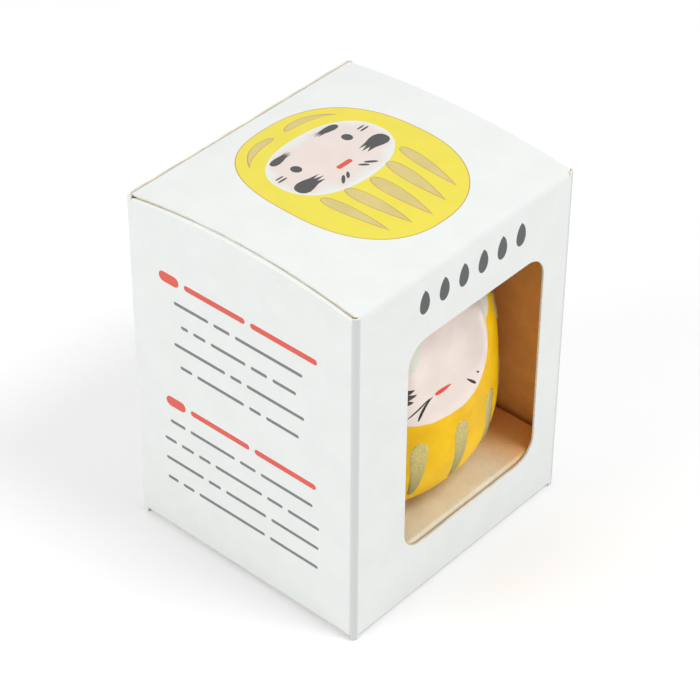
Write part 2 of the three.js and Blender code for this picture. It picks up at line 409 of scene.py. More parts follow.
def finish_of(key):
    """Each finish is made once, from the settings, the first time that a piece asks for it."""
    if key in MADE:
        return MADE[key]
    scene = bpy.context.scene
    box, ink, doll = scene.daruma_carton, scene.daruma_print, scene.daruma_doll
    makers = {
        "white": lambda: coated_board("carton_white", box.white),
        # The orange of the inside finish holds painted shade and painted light reflected from the doll.
        "inside": lambda: kraft("carton_inside_painted_shade", box.inside),
        "edge": lambda: cut_edge("carton_cut_edge", box.edge),
        "ink_yellow": lambda: coated_board("ink_yellow", ink.yellow, 0.46),
        "ink_tan": lambda: coated_board("ink_tan", ink.tan, 0.46, 0.05),
        "ink_line": lambda: coated_board("ink_line", ink.line, 0.46),
        "ink_pink": lambda: printed_face("ink_pink", ink.pink, tint(box.white, 0.96)),
        "ink_grey": lambda: coated_board("ink_grey", ink.grey, 0.42, 0.05),
        "ink_red": lambda: coated_board("ink_red", ink.red, 0.42, 0.04),
        "ink_soft": lambda: coated_board("ink_soft_grey", ink.soft_grey, 0.42, 0.05),
        # The platform card turns to the orange inside colour towards its right end: painted shade.
        "platform": lambda: kraft("platform_card", box.platform, deep=box.inside),
        "body": lambda: body_paint("doll_body_paint", doll.yellow, doll.pink),
        # The gold strokes darken towards their far end: painted shade.
        "gold": lambda: thick_paint("gold_paint_painted_shade", doll.gold, 0.42, 0.55, 0.1, 0.12, tint(doll.gold, 0.5)),
        "black": lambda: thick_paint("black_paint", doll.black, 0.38, 0.0, 0.04, 0.04),
        "red": lambda: thick_paint("red_paint", doll.red, 0.4, 0.0, 0.04, 0.04),
        "eye": lambda: thick_paint("eye_white_paint", doll.eye, 0.45, 0.0, 0.012, 0.04),
        "clay": lambda: plain_stuff("doll_clay", (0.25, 0.2, 0.15), 0.95, 300),
        "paper": lambda: plain_stuff("doll_base_paper", (0.72, 0.68, 0.56), 0.9, 900),
    }
    MADE[key] = makers[key]()
    return MADE[key]


# ---- Flat outlines, in millimetres -----------------------------------------------------


def arc(centre, radius, start, end, steps):
    """Points of a round corner, angles in quarter turns."""
    points = []
    for i in range(steps + 1):
        angle = (start + (end - start) * i / steps) * math.pi / 2
        points.append((centre[0] + radius * math.cos(angle), centre[1] + radius * math.sin(angle)))
    return points


def rounded_box(left, bottom, right, top, radius, steps=4):
    corners = (
        ((right - radius, bottom + radius), -1, 0),
        ((right - radius, top - radius), 0, 1),
        ((left + radius, top - radius), 1, 2),
        ((left + radius, bottom + radius), 2, 3),
    )
    points = []
    for centre, start, end in corners:
        points += arc(centre, radius, start, end, steps)
    return points


def egg(centre, half_width, up, down, power_up, power_down, steps=96):
    """Closed oval whose top and bottom halves have their own height and squareness."""
    points = []
    for i in range(steps):
        angle = 2 * math.pi * i / steps
        c, s = math.cos(angle), math.sin(angle)
        power, height = (power_up, up) if s >= 0 else (power_down, down)
        x = math.copysign(abs(c) ** (2 / power), c) * half_width
        y = math.copysign(abs(s) ** (2 / power), s) * height
        points.append((centre[0] + x, centre[1] + y))
    return points


def drop_share(t, taper):
    """Half width of a brush drop at a share t of its length, as a share of its largest."""
    peak = 0.5 / (0.5 + taper)
    return math.sqrt(t / peak) * ((1 - t) / (1 - peak)) ** taper


def drop(start, end, width, bend=0.0, taper=1.1, steps=14, grow=0.0):
    """Brush drop with a round start and a pointed end; bend moves its middle to the left."""
    a, b = Vector(start), Vector(end)
    along = (b - a).normalized()
    across = Vector((-along.y, along.x))
    a, b = a - along * grow, b + along * grow * 2.5
    sides = ([], [])
    for i in range(1, steps):
        t = (i / steps) ** 1.6
        spine = a.lerp(b, t) + across * bend * 4 * t * (1 - t)
        half = across * (drop_share(t, taper) * width / 2 + grow)
        sides[0].append(tuple(spine - half))
        sides[1].append(tuple(spine + half))
    return [tuple(a)] + sides[0] + [tuple(b)] + sides[1][::-1]


def feather(start, end, width):
    """Brush dab with a round start that splits into three points at its end."""
    a, b = Vector(start), Vector(end)
    along = b - a
    across = Vector((-along.y, along.x)).normalized() * width / 2
    shape = [(0.02, -0.45), (0.1, -0.8), (0.24, -1.0), (0.42, -0.98), (0.62, -0.8), (0.96, -0.62)]
    shape += [(0.7, -0.4), (1.0, -0.08), (0.7, 0.08), (0.93, 0.42)]
    shape += [(0.62, 0.55), (0.42, 0.82), (0.24, 0.96), (0.1, 0.8), (0.02, 0.45), (0.0, 0.0)]
    return [tuple(a + along * t + across * s) for t, s in shape]


def shifted(points, dx, dy):
    return [(x + dx, y + dy) for x, y in points]


def mirrored(points, middle):
    return [(2 * middle - x, y) for x, y in points][::-1]


def counterclockwise(points):
    area = sum(p[0] * q[1] - q[0] * p[1] for p, q in zip(points, points[1:] + points[:1]))
    return points if area > 0 else points[::-1]


def smooth(low, high, value):
    """0 below low, 1 above high, and a soft step between."""
    t = max(0.0, min(1.0, (value - low) / (high - low)))
    return t * t * (3 - 2 * t)


def bow(share):
    """0 at both ends of a panel and 1 in its middle."""
    return 4 * share * (1 - share)


# ---- Folded board ----------------------------------------------------------------------


class FoldLine:
    """The outer face of a sheet, seen along its folds: straight runs with round folds between.

    Points are pairs in millimetres, and the outer side is on the left of the line.
    """

    SUPPORT = 0.35
    ARC_STEPS = 7

    def __init__(self, corners, radii):
        corners = [Vector(c) for c in corners]
        self.stations = []
        self.folds = []
        self.run_start = []
        position, u = corners[0], 0.0
        cut = 0.0
        for i in range(len(corners) - 1):
            way = (corners[i + 1] - corners[i]).normalized()
            normal = Vector((-way.y, way.x))
            self.run_start.append((u, cut))
            self.stations.append((u, position, normal))
            last = i == len(corners) - 2
            if last:
                u += (corners[i + 1] - position).length
                self.stations.append((u, corners[i + 1], normal))
                break
            following = (corners[i + 2] - corners[i + 1]).normalized()
            turn = way.angle(following)
            radius = radii[i]
            cut = radius * math.tan(turn / 2)
            begin = corners[i + 1] - way * cut
            run = (begin - position).length
            if run > 3 * self.SUPPORT:
                self.stations.append((u + self.SUPPORT, position + way * self.SUPPORT, normal))
                self.stations.append((u + run - self.SUPPORT, begin - way * self.SUPPORT, normal))
            u += run
            centre = begin - normal * radius
            for step in range(self.ARC_STEPS + 1):
                angle = -turn * step / self.ARC_STEPS
                turned = Matrix.Rotation(angle, 2) @ normal
                self.stations.append((u + radius * -angle, centre + turned * radius, turned))
            self.folds.append((u, u + radius * turn))
            u += radius * turn
            position = corners[i + 1] + following * cut
        self.length = u
        self.marks = [s[0] for s in self.stations]

    def at(self, u):
        """Point and outward normal at a distance u along the line."""
        i = max(1, min(bisect.bisect_left(self.marks, u), len(self.marks) - 1))
        u0, p0, n0 = self.stations[i - 1]
        u1, p1, n1 = self.stations[i]
        share = 0.0 if u1 - u0 < 1e-9 else (u - u0) / (u1 - u0)
        return p0.lerp(p1, share), n0.lerp(n1, share).normalized()

    def u_at(self, run, distance):
        """Distance along the line of a point that lies so far past the start of a straight run."""
        start, cut = self.run_start[run]
        return start + distance - cut


def board_mesh(line, place, outline, finishes, holes=(), prints=(), warp=None, crease_and_shade=False, grid=5.0):
    """Closed mesh of a board that is cut to outline, pierced by holes and folded along line.

    place turns (a, b, v) into a point of the carton. prints are (outline, finish index) pairs,
    each over the one before it. finishes holds the outer, inner and edge indices.
    """
    outer_finish, inner_finish, edge_finish = finishes
    shapes = [outline, *holes, *(p[0] for p in prints)]
    points, faces, edges = [], [], []
    for shape in shapes:
        first = len(points)
        points += [Vector(p) for p in counterclockwise(list(shape))]
        faces.append(list(range(first, len(points))))
    low = min(p[1] for p in outline) - 1
    high = max(p[1] for p in outline) + 1
    for mark in line.marks[1:-1]:
        edges.append((len(points), len(points) + 1))
        points += [Vector((mark, low)), Vector((mark, high))]
    if warp:
        columns = [*line.marks[1:-1], *(i * grid for i in range(1, int(line.length / grid)))]
        for u in columns:
            for j in range(1, int((high - low) / grid)):
                points.append(Vector((u, low + j * grid + 0.37)))
    flat, _, triangles, _, _, owners = delaunay_2d_cdt(points, edges, faces, 0, 1e-5)
    hole_ids = set(range(1, 1 + len(holes)))
    mesh = bmesh.new()
    layer = mesh.loops.layers.uv.new("flat")
    crease_and_shade_layer = mesh.verts.layers.float.new("crease_and_shade")
    sheets = ({}, {})

    def vertex(side, index):
        made = sheets[side]
        if index not in made:
            u, v = flat[index]
            spot, normal = line.at(u)
            inward = side * BOARD + (warp(u, v) if warp else 0.0)
            a, b = spot - normal * inward
            made[index] = mesh.verts.new(Vector(place(a, b, v)) * MM)
            # Points on the outer face of a fold carry the darker fold band: the crease, and painted shade.
            in_crease_and_shade = crease_and_shade and any(start - 0.05 < u < end + 0.05 for start, end in line.folds)
            made[index][crease_and_shade_layer] = 1.0 if in_crease_and_shade and side == 0 else 0.0
        return made[index]

    def add_face(corners, finish):
        face = mesh.faces.new([vertex(side, index) for side, index in corners])
        face.material_index = finish
        face.smooth = True
        for loop, (_, index) in zip(face.loops, corners):
            loop[layer].uv = (flat[index][0] / UV_SPAN, flat[index][1] / UV_SPAN)

    rims = {}
    for triangle, owned in zip(triangles, owners):
        owned = set(owned)
        if 0 not in owned or owned & hole_ids:
            continue
        top = max(owned)
        art = prints[top - 1 - len(holes)] if top > len(holes) else (None, outer_finish)
        add_face([(0, i) for i in triangle], art[1])
        add_face([(1, i) for i in reversed(triangle)], art[2] if len(art) > 2 else inner_finish)
        for i, j in zip(triangle, triangle[1:] + triangle[:1]):
            if (j, i) in rims:
                del rims[(j, i)]
            else:
                rims[(i, j)] = True
    for i, j in rims:
        add_face([(0, j), (0, i), (1, i), (1, j)], edge_finish)
    bmesh.ops.recalc_face_normals(mesh, faces=mesh.faces)
    return mesh


def finished(name, meshes, finish_keys, body, nodes=(), sharp=35):
    """Makes one object of one or more bmeshes; sets it on its body when body is a name, and otherwise only
    bakes its place into the mesh.
    """
    data = bpy.data.meshes.new(name)
    whole = bmesh.new()
    for part in meshes:
        part.to_mesh(data)
        whole.from_mesh(data)
        part.free()
    whole.to_mesh(data)
    whole.free()
    for key in finish_keys:
        data.materials.append(finish_of(key))
    data.set_sharp_from_angle(angle=math.radians(sharp))
    piece = bpy.data.objects.new(name, data)
    bpy.context.collection.objects.link(piece)
    if isinstance(body, str):
        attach(piece, body)
    else:
        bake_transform(piece)
    if nodes:
        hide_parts(*nodes)
    return piece


BOARD_KEYS = ["white", "inside", "edge"]
BOARD_FINISHES = (0, 1, 2)


# Middle of the printed doll, and its face: centre, half width, height above and below
PRINT_MIDDLE = 0.95
PRINT_DROP = -0.45
PRINT_FACE = (1.03, 5.95, 13.3, 9.65, 9.2)


# ---- Printed artwork -------------------------------------------------------------------


def daruma_print(first):
    """The printed doll on the lid, as (outline, finish index) pairs; x to the right, y up."""
    yellow, tan, line, pink, grey, red = range(first, first + 6)
    middle = PRINT_MIDDLE
    art = []
    art.append((egg((middle, -0.7), 17.85, 23.35, 20.1, 2.5, 2.3), line))
    art.append((egg((middle, -0.7), 17.68, 23.18, 19.93, 2.5, 2.3), yellow))
    art.append((egg(PRINT_FACE[:2], *PRINT_FACE[2:], 2.3, 2.2), pink))

    def both(finish, make, *shape, **options):
        """A shape given to the right of the middle, and its mirror image."""
        outline = shifted(make(*shape, **options), middle, PRINT_DROP)
        art.append((outline, finish))
        art.append((mirrored(outline, middle), finish))

    def outlined(*shape, **options):
        both(line, drop, *shape, grow=0.13, **options)
        both(tan, drop, *shape, **options)

    outlined((1.6, 19.4), (11.6, 15.6), 1.75, bend=1.6, taper=1.25)
    outlined((10.8, -0.9), (9.15, -15.3), 2.35)
    outlined((5.72, -2.2), (4.55, -16.6), 2.85)
    for finish, grow in ((line, 0.13), (tan, 0.0)):
        strip = drop((middle, -3.3), (middle - 0.2, -17.7), 2.9, grow=grow)
        art.append((shifted(strip, 0, PRINT_DROP), finish))
    both(grey, feather, (8.95, 13.0), (3.1, 13.4), 1.95)
    both(grey, egg, (6.9, 8.7), 1.0, 1.18, 1.18, 2, 2, 24)
    both(grey, drop, (12.0, 9.05), (9.9, 9.0), 0.42, taper=0.5)
    both(grey, drop, (12.25, 8.2), (9.85, 8.15), 0.5, taper=0.5)
    both(grey, feather, (12.1, 3.75), (5.1, 3.4), 3.65)
    both(grey, drop, (4.75, -0.75), (2.7, 1.05), 0.72, taper=0.5)
    both(grey, drop, (2.9, -0.3), (1.4, 1.2), 0.66, taper=0.5)
    art.append((rounded_box(middle - 1.9, 2.2, middle + 1.9, 3.3, 0.5), red))
    return art


def heading_print(finish):
    """A row of six upright brush drops over the window; x to the right, z up."""
    first, pitch, foot, height = -11.9, 5.34, 67.05, 5.15
    return [
        (drop((first + pitch * i, foot), (first + pitch * i, foot + height), 2.7, taper=0.75), finish)
        for i in range(6)
    ]


def small_print(red, grey):
    """Two blocks of plain bars in place of small print; h to the right, z up."""
    blocks = (
        (61.9, ((5, 15, 16), (8.6, 4, 16.3), (1.8, 3.1, 8.6, 4, 5.7), (12.8, 2.8, 14), (3, 11.8, 2.9, 8))),
        (
            32.7,
            (
                (5, 15, 15.2),
                (3.9, 11.4, 4, 12.9),
                (3, 3.2, 3, 11.9, 3.9, 7.8),
                (9.7, 3.2, 10.3, 11.9),
                (2.7, 2.9, 17, 12.1),
            ),
        ),
    )
    middle, gap, pitch = -0.8, 1.3, 4.87
    art = []
    for top, lines in blocks:
        for row, words in enumerate(lines):
            z = top - pitch * row
            left = middle - (sum(words) + gap * (len(words) - 1)) / 2
            for place, word in enumerate(words):
                tall = 0.75
                if row == 0:
                    tall = 2.3 if place == 0 else 1.3
                corner = min(tall, word) * 0.48
                bar = rounded_box(left, z - tall / 2, left + word, z + tall / 2, corner, 3)
                art.append((bar, red if row == 0 else grey))
                left += word + gap
    return art


# ---- Carton ----------------------------------------------------------------------------


def build_walls():
    box = bpy.context.scene.daruma_carton
    seam = BACK - 0.2
    flap_face = LEFT + BOARD + 0.05
    flap_end = seam - 14.0
    corners = (
        (LEFT, -seam),
        (LEFT, -FRONT),
        (RIGHT, -FRONT),
        (RIGHT, -BACK),
        (flap_face, -BACK),
        (flap_face, -flap_end),
    )
    radius = box.fold_radius / MM
    line = FoldLine(corners, (radius, radius, radius, 0.5))
    side_foot, front_foot = TOP - SIDE_FOLD, TOP - FRONT_FOLD
    corner_foot = 0.05
    shoulder = radius * 0.6

    def lower_edge():
        points = [(0.0, corner_foot)]
        for run, start, sign in ((0, seam, -1), (2, FRONT, 1)):
            near, far = (ROOT_HALF - 0.2, -ROOT_HALF) if sign < 0 else (-ROOT_HALF, ROOT_HALF)
            first = line.u_at(run, abs(near - start))
            last = line.u_at(run, abs(far - start))
            points += [(first, corner_foot), (first, side_foot), (last, side_foot), (last, corner_foot)]
            if run == 0:
                begin, end = line.folds[0][1] + shoulder, line.folds[1][0] - shoulder
                points += [(begin, corner_foot), (begin, front_foot), (end, front_foot), (end, corner_foot)]
        begin, end = line.folds[2][1], line.folds[3][0]
        points += [(begin, corner_foot), (begin + 0.2, 0.0), (end - 0.2, 0.0)]
        points += [(line.folds[3][1], 3.0), (line.length, 6.0)]
        return points

    lower = lower_edge()
    outline = lower + [(u, TOP - v) for u, v in reversed(lower)]
    window = rounded_box(
        line.u_at(1, WINDOW["left"] - LEFT),
        WINDOW["bottom"],
        line.u_at(1, WINDOW["right"] - LEFT),
        WINDOW["top"],
        WINDOW["radius"],
        10,
    )
    grey, red, soft = 3, 4, 5
    prints = [(shifted(p, line.u_at(1, -LEFT), 0), f) for p, f in heading_print(grey)]
    prints += [(shifted(p, line.u_at(0, seam), 0), f) for p, f in small_print(red, soft)]
    # A pale strip in the cut edge's colour along the top of the inner face of the back and beside the seam:
    # painted light, so that the shaded gap under the lid's back fold looks pale.
    for start, end in ((line.folds[2][0], line.folds[3][1] - 0.1), (0.05, 1.2)):
        prints.append((rounded_box(start, TOP - 0.8, end, TOP - 0.08, 0.05, 1), 0, 2))
    bulge = box.bulge / MM

    def warp(u, v):
        """Panels bow in a little between their folds, most at mid height."""
        for (_, start), (end, _) in zip(((0, 0.0), *line.folds), (*line.folds, (line.length, 0))):
            if start < u < end:
                wave = 0.6 + 0.4 * noise.noise(Vector((u * 0.03, v * 0.04, 2.0)))
                glued = 0.0 if start > line.folds[3][0] else 1.0
                return bulge * wave * glued * bow((u - start) / (end - start)) * bow(v / TOP)
        return 0.0

    mesh = board_mesh(
        line, lambda a, b, v: (a, -b, v), outline, BOARD_FINISHES, [window], prints, warp, crease_and_shade=True
    )
    nodes = ("front_panel", "left_panel", "right_panel", "back_panel", "glue_flap")
    keys = [*BOARD_KEYS, "ink_grey", "ink_red", "ink_soft"]
    finished("carton_walls", [mesh], keys, "carton", nodes)


def upside_down(place):
    """The same place in the carton, turned over from the top end to the bottom end."""

    def turned(a, b, v):
        x, y, z = place(a, b, v)
        return x, y, TOP - z

    return turned


def lid_rise(y):
    """How far the lid bows up at a depth y."""
    return LID_RISE * bow(max(0.0, min(1.0, (y - FRONT) / (LID_FOLD - FRONT))))


def build_cover(name, body, node, at_top, prints):
    """Lid or bottom: the strip that folds over from the front panel, and the flat cover."""
    radius = bpy.context.scene.daruma_carton.lid_radius / MM
    tuck_start = TOP - 0.9
    corners = ((FRONT, FRONT_FOLD), (FRONT, TOP), (LID_FOLD, TOP), (LID_FOLD, tuck_start))
    line = FoldLine(corners, (radius, 0.3))
    neck = LID_HALF - 0.35
    open_u, close_u = line.folds[0][1] - 0.3, line.folds[1][0]
    steps = 12
    sides = []
    for i in range(steps + 1):
        share = i / steps
        u = open_u + (close_u - open_u) * share
        sides.append((u, bow(share)))
    left = [(u, -(LID_HALF - 0.25 * b)) for u, b in sides]
    right = [(u, LID_HALF - 0.15 * b) for u, b in reversed(sides)]
    end = line.length
    outline = [(0.0, neck), (0.0, -neck), (open_u - 0.4, -neck), *left]
    outline += [(end, -LID_HALF + 1.2), (end, LID_HALF - 1.2), *right, (open_u - 0.4, neck)]
    flat = line.u_at(1, -FRONT)
    shapes = [([(flat + y, x) for x, y in points], finish) for points, finish in prints]
    place = (lambda a, b, v: (v, a, b + lid_rise(a))) if at_top else upside_down(lambda a, b, v: (v, a, b))

    def warp(u, v):
        share = (u - open_u) / (close_u - open_u)
        if not 0 < share < 1:
            return 0.0
        wave = 0.5 + 0.5 * noise.noise(Vector((u * 0.05, v * 0.05, 7.0)))
        return 0.16 * wave * bow(share)

    mesh = board_mesh(line, place, outline, BOARD_FINISHES, (), shapes, warp)
    start = place(FRONT, FRONT_FOLD, 0)
    end = place(FRONT + 0.8, TOP, 0)
    keys = list(BOARD_KEYS)
    if prints:
        keys += ["ink_yellow", "ink_tan", "ink_line", "ink_pink", "ink_grey", "ink_red"]
    piece = finished(name, [mesh], keys, ("carton", body, start, end), [node])
    return piece


def rim_shares(piece, slot):
    """Stores how far each point of the printed face lies inside its rim, from 0 to 1."""
    x, y, half_width, above, below = PRINT_FACE
    data = piece.data
    rim = data.attributes.new("rim", "FLOAT", "CORNER")
    values = [1.0] * len(data.loops)
    for polygon in data.polygons:
        if polygon.material_index != slot:
            continue
        for loop in polygon.loop_indices:
            spot = data.vertices[data.loops[loop].vertex_index].co / MM
            height = above if spot.y > y else below
            share = math.hypot((spot.x - x) / half_width, (spot.y - y) / height)
            values[loop] = max(0.0, min(1.0, (1 - share) / 0.06))
    rim.data.foreach_set("value", values)


def build_tuck(name, body, cover_body, node, at_top):
    """Tuck flap at the back edge of the lid or bottom, leaning in behind the back panel."""
    back_fold = LID_FOLD
    top_of_tuck = TOP - 0.9
    low = TUCK[0]
    lean_back = TUCK[0].y + BOARD
    line = FoldLine(((back_fold, top_of_tuck), (lean_back, low.z)), ())
    half = TUCK[1].x
    corner = 4.0
    end = line.length
    outline = [(0.0, -half + 0.2), (end - corner, -half)]
    outline += [(u, v) for u, v in arc((end - corner, -half + corner), corner, -1, 0, 6)]
    outline += [(u, v) for u, v in arc((end - corner, half - corner), corner, 0, 1, 6)]
    outline += [(0.0, half - 0.2)]
    place = lambda a, b, v: (v, a, b)
    if not at_top:
        place = upside_down(place)
    mesh = board_mesh(line, place, outline, BOARD_FINISHES)
    start = place(back_fold, top_of_tuck + 0.3, 0)
    end_point = place(back_fold, top_of_tuck - 1.2, 0)
    finished(name, [mesh], BOARD_KEYS, (cover_body, body, start, end_point), [node])


def build_dust_flap(name, body, node, side, at_top):
    """Dust flap: folds in from the top or bottom of a side panel, its window end cut at 45 degrees."""
    wall = RIGHT
    line = FoldLine(((-wall, SIDE_FOLD), (-wall, DUST_TOP), (DUST_TIP, DUST_TOP)), (0.65,))
    reach = line.length
    fold_end = line.folds[0][1]
    slant = reach - fold_end
    blunt = 1.5
    outline = [
        (0.0, -ROOT_HALF),
        (fold_end - 0.2, -ROOT_HALF),
        (fold_end + 2.0, DUST_FRONT + 2.0),
        (reach, DUST_FRONT + slant),
        *arc((reach - blunt, DUST_BACK - 1.5 - blunt), blunt, 0, 1, 5),
        (fold_end + 1.6, DUST_BACK),
        (fold_end - 0.2, ROOT_HALF - 0.2),
        (0.0, ROOT_HALF - 0.2),
    ]

    def place(a, b, v):
        """The sprung flap pushes the lid up, and rises steeply from its fold."""
        lift = (lid_rise(v) + 0.14 * bow(v / DEPTH + 0.5)) * smooth(-wall, -wall + 0.15, a)
        return -side * a, v, b + lift

    if not at_top:
        place = upside_down(lambda a, b, v: (-side * a, v, b))
    mesh = board_mesh(line, place, outline, BOARD_FINISHES, warp=lambda u, v: 0.0, grid=2.0)
    start = place(-wall, SIDE_FOLD, 0)
    end = place(-wall + 0.65, DUST_TOP, 0)
    finished(name, [mesh], BOARD_KEYS, ("carton", body, start, end), [node])


def build_platform():
    """Folded card platform: top and two long skirts in one strip, and the two short skirts."""
    low, high = PLATFORM
    foot = cad("platform_skirt_front")[0].z
    radius = 0.55
    line = FoldLine(((low.y, foot), (low.y, high.z), (high.y, high.z), (high.y, foot)), (radius, radius))
    half = high.x - radius
    skirt = high.x - 1.0
    first, last = line.folds[0][1], line.folds[1][0]
    outline = [
        (0, -skirt),
        (first - 0.6, -skirt),
        (first, -half),
        (last, -half),
        (last + 0.6, -skirt),
        (line.length, -skirt),
    ]
    outline += [(u, -v) for u, v in reversed(outline)]

    def sag(u, v):
        share = (u - first) / (last - first)
        return 0.12 * bow(share) * (0.5 + 0.5 * math.cos(v * 0.1)) if 0 < share < 1 else 0.0

    strip = board_mesh(line, lambda a, b, v: (v, a, b), outline, (0, 0, 1), warp=sag)
    parts = [strip]
    for side in (-1, 1):
        end = FoldLine(((-high.x, foot), (-high.x, high.z), (-half, high.z)), (radius - 0.01,))
        edge = [(0, low.y + 1), (end.length, low.y + radius), (end.length, high.y - radius), (0, high.y - 1)]
        parts.append(board_mesh(end, lambda a, b, v, s=side: (-s * a, v, b), edge, (0, 0, 1)))
    nodes = ["platform_top"] + [f"platform_skirt_{s}" for s in ("front", "back", "left", "right")]
    finished("card_platform", parts, ["platform", "edge"], "carton", nodes)


# ---- Doll ------------------------------------------------------------------------------


class DollForm:
    """The doll's painted surface, in millimetres: x to its left hand's side, z up from its foot."""

    WIDEST = 14.0
    FOOT = 0.56
    CROWN_POWER = 2.7
    FACE = {"x": -0.8, "z": 35.2, "left": 16.8, "right": 12.6, "up": 12.6, "down": 11.7, "power": 2.5}
    EYES = ((-8.5, 39.3, 3.5), (12.2, 38.9, 2.6))
    CHEEK = 9.6

    def __init__(self, face_depth):
        low, high = DOLL
        self.middle = (low + high) / 2
        self.base = low.z
        self.height = high.z - low.z
        c, s = math.cos(DOLL_TURN) ** 2, math.sin(DOLL_TURN) ** 2
        wide, deep = ((high.x - low.x) / 2) ** 2, ((high.y - low.y) / 2) ** 2
        self.half_width = math.sqrt((wide * c - deep * s) / (c - s))
        self.half_depth = math.sqrt((deep * c - wide * s) / (c - s))
        self.face_depth = face_depth
        self.cheek_swell = 2.6

    def fullness(self, z):
        if z < self.WIDEST:
            fall = min(1.0, (self.WIDEST - z) / self.WIDEST)
            return self.FOOT + (1 - self.FOOT) * math.sqrt(max(0.0, 1 - fall * fall))
        rise = min(1.0, (z - self.WIDEST) / (self.height - self.WIDEST))
        return max(0.0, 1 - rise**self.CROWN_POWER) ** (1 / self.CROWN_POWER)

    def inside_face(self, x, z):
        """Distance inside the face's painted rim, negative outside it."""
        face = self.FACE
        reach = face["up"] if z > face["z"] else face["down"]
        half_width = face["right"] if x > face["x"] else face["left"]
        power = face["power"]
        share = (abs(x - face["x"]) / half_width) ** power + (abs(z - face["z"]) / reach) ** power
        return (1 - share ** (1 / power)) * 12.0

    def press(self, x, z):
        """How far the face is pressed in, less the swell that runs from each eye to its cheek."""
        inside = self.inside_face(x, z)
        if inside <= 0:
            return 0.0
        brow = 1 - 0.55 * smooth(38, 46, z)
        depth = self.face_depth * brow * smooth(0, 6.0, inside)
        swell = sum(math.exp(-((x - side * self.CHEEK) ** 2) / 16) for side in (-1, 1))
        swell *= smooth(25.5, 33.0, z) * (1 - smooth(39.0, 46.0, z))
        return depth - self.cheek_swell * swell * smooth(0, 3.0, inside)

    def point(self, angle, z):
        """Point at an angle round from the front, positive to the right of someone facing it."""
        share = self.fullness(z)
        x = self.half_width * share * math.sin(angle)
        y = -self.half_depth * share * math.cos(angle)
        if y < 0:
            y += self.press(x, z) * min(1.0, -y / 6)
        return Vector((x, y, z))

    def normal(self, angle, z):
        step = 0.01
        across = self.point(angle + step, z) - self.point(angle - step, z)
        up = self.point(angle, z + 0.2) - self.point(angle, z - 0.2)
        return across.cross(up).normalized()

    def front_angle(self, x, z):
        """The angle of the surface point that is x to the side at that level."""
        return math.asin(max(-0.999, min(0.999, x / (self.half_width * self.fullness(z)))))

    def place(self, p):
        """From the doll's own millimetres to the carton's metres."""
        turned = Matrix.Rotation(DOLL_TURN, 3, "Z") @ p
        return Vector((turned.x + self.middle.x, turned.y + self.middle.y, turned.z + self.base)) * MM


def doll_form():
    return DollForm(bpy.context.scene.daruma_doll.face_depth / MM)


def pulp(p):
    """Unevenness of the pulp under the paint, in millimetres."""
    return 0.16 * noise.noise(p * 0.11) + 0.05 * noise.noise(p * 0.45) + 0.02 * noise.noise(p * 1.3)


def build_shell():
    form = doll_form()
    columns, foot_rows, crown_rows = 320, 26, 130
    levels = [form.WIDEST * (1 - math.cos(math.pi / 2 * i / foot_rows)) for i in range(foot_rows)]
    rise = form.height - form.WIDEST
    levels += [form.WIDEST + rise * math.sin(math.pi / 2 * i / crown_rows) for i in range(crown_rows)]
    mesh = bmesh.new()
    face_layer = mesh.verts.layers.float.new("face")
    rings = []
    for z in levels:
        ring = []
        for i in range(columns):
            angle = 2 * math.pi * i / columns
            p = form.point(angle, z)
            swell = pulp(p) * smooth(0, 3, z)
            vertex = mesh.verts.new(form.place(p + form.normal(angle, max(z, 0.3)) * swell))
            ahead = math.cos(angle) > 0
            vertex[face_layer] = max(-3.0, min(3.0, form.inside_face(p.x, z))) if ahead else -3.0
            ring.append(vertex)
        rings.append(ring)
    crown = mesh.verts.new(form.place(Vector((0, 0, form.height))))
    crown[face_layer] = -3.0
    # The foot turns in to a rim round the paper disc.
    inner = []
    for i in range(columns):
        p = form.point(2 * math.pi * i / columns, 0)
        inner.append(p)
    rims = []
    for share, z in ((0.97, -0.02), (0.9, 0.0), (0.885, 0.25), (0.88, 1.2)):
        ring = []
        for p in inner:
            vertex = mesh.verts.new(form.place(Vector((p.x * share, p.y * share, z))))
            vertex[face_layer] = -3.0
            ring.append(vertex)
        rims.append(ring)
    plug = mesh.verts.new(form.place(Vector((0, 0, 1.2))))
    plug[face_layer] = -3.0
    rings = rims[::-1] + rings
    for low, high in zip(rings, rings[1:]):
        for i in range(columns):
            j = (i + 1) % columns
            mesh.faces.new((low[i], low[j], high[j], high[i]))
    for i in range(columns):
        j = (i + 1) % columns
        mesh.faces.new((rings[-1][i], rings[-1][j], crown))
        mesh.faces.new((rings[0][j], rings[0][i], plug))
    for face in mesh.faces:
        face.smooth = True
    bmesh.ops.recalc_face_normals(mesh, faces=mesh.faces)
    finished("doll_painted_shell", [mesh], ["body"], "doll", ["doll_shell"], sharp=50)


